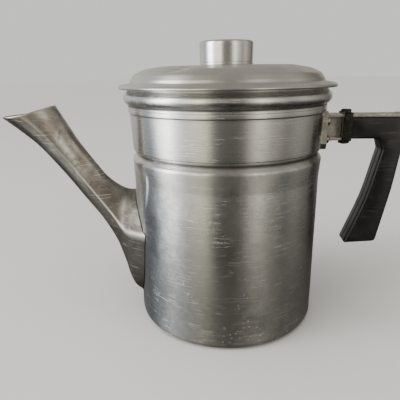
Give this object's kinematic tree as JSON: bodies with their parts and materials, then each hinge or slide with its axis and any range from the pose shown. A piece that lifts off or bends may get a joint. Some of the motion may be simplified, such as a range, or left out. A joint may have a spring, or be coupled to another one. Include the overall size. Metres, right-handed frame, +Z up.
{
  "type": "coffee percolator",
  "caption": "Stovetop coffee percolator for camping, with long spout, side handle, lift-off lid and removable pump and basket.",
  "frame": {"origin": "centre of the pot's flat bottom, on the surface that it stands on", "axes": "+Z up along the pot's axis, spout towards -X, handle towards +X, +Y towards the back of the picture's view"},
  "size_m": [0.2406, 0.1236, 0.1646],
  "materials": {
    "drawn_aluminium": "brushed, worn",
    "lid_aluminium": "spun, worn",
    "turned_aluminium": "turned, polished",
    "tarnished_aluminium": "tarnished, mottled",
    "plated_steel": "dull nickel plate",
    "oxidised_steel": "dark oxide",
    "phenolic": "satin black moulding",
    "inner_aluminium": "satin, coffee stained",
    "valve_steel": "bright"
  },
  "bodies": {
    "pot": {"pot_body": "drawn_aluminium", "spout": "tarnished_aluminium", "handle_plate": "plated_steel", "plate_rivets": "plated_steel", "handle_strap": "plated_steel", "handle_ferrule": "oxidised_steel", "ferrule_screw": "oxidised_steel", "ferrule_nut": "oxidised_steel", "handle_grip": "phenolic", "strap_screw": "plated_steel"},
    "pump": {"pump_tube": "inner_aluminium", "pump_base": "inner_aluminium", "valve_seat": "inner_aluminium", "basket_stop": "inner_aluminium"},
    "valve": {"valve_disc": "valve_steel"},
    "basket": {"basket_cup": "inner_aluminium", "basket_sleeve": "inner_aluminium"},
    "spreader": {"spreader_plate": "inner_aluminium"},
    "lid": {"lid_shell": "lid_aluminium", "lid_knob": "turned_aluminium", "knob_screw": "plated_steel", "knob_washer": "plated_steel"}
  },
  "joints": [
    {"name": "pump_lift", "type": "slide", "parent": "pot", "child": "pump", "axis": [0, 0, 1], "range_m": [0, 0.15]},
    {"name": "valve_lift", "type": "slide", "parent": "pump", "child": "valve", "axis": [0, 0, 1], "range_m": [0, 0.0018]},
    {"name": "basket_lift", "type": "slide", "parent": "pump", "child": "basket", "axis": [0, 0, 1], "range_m": [0, 0.065]},
    {"name": "spreader_lift", "type": "slide", "parent": "basket", "child": "spreader", "axis": [0, 0, 1], "range_m": [0, 0.03]},
    {"name": "lid_lift", "type": "slide", "parent": "spreader", "child": "lid", "axis": [0, 0, 1], "range_m": [0, 0.05]}
  ]
}
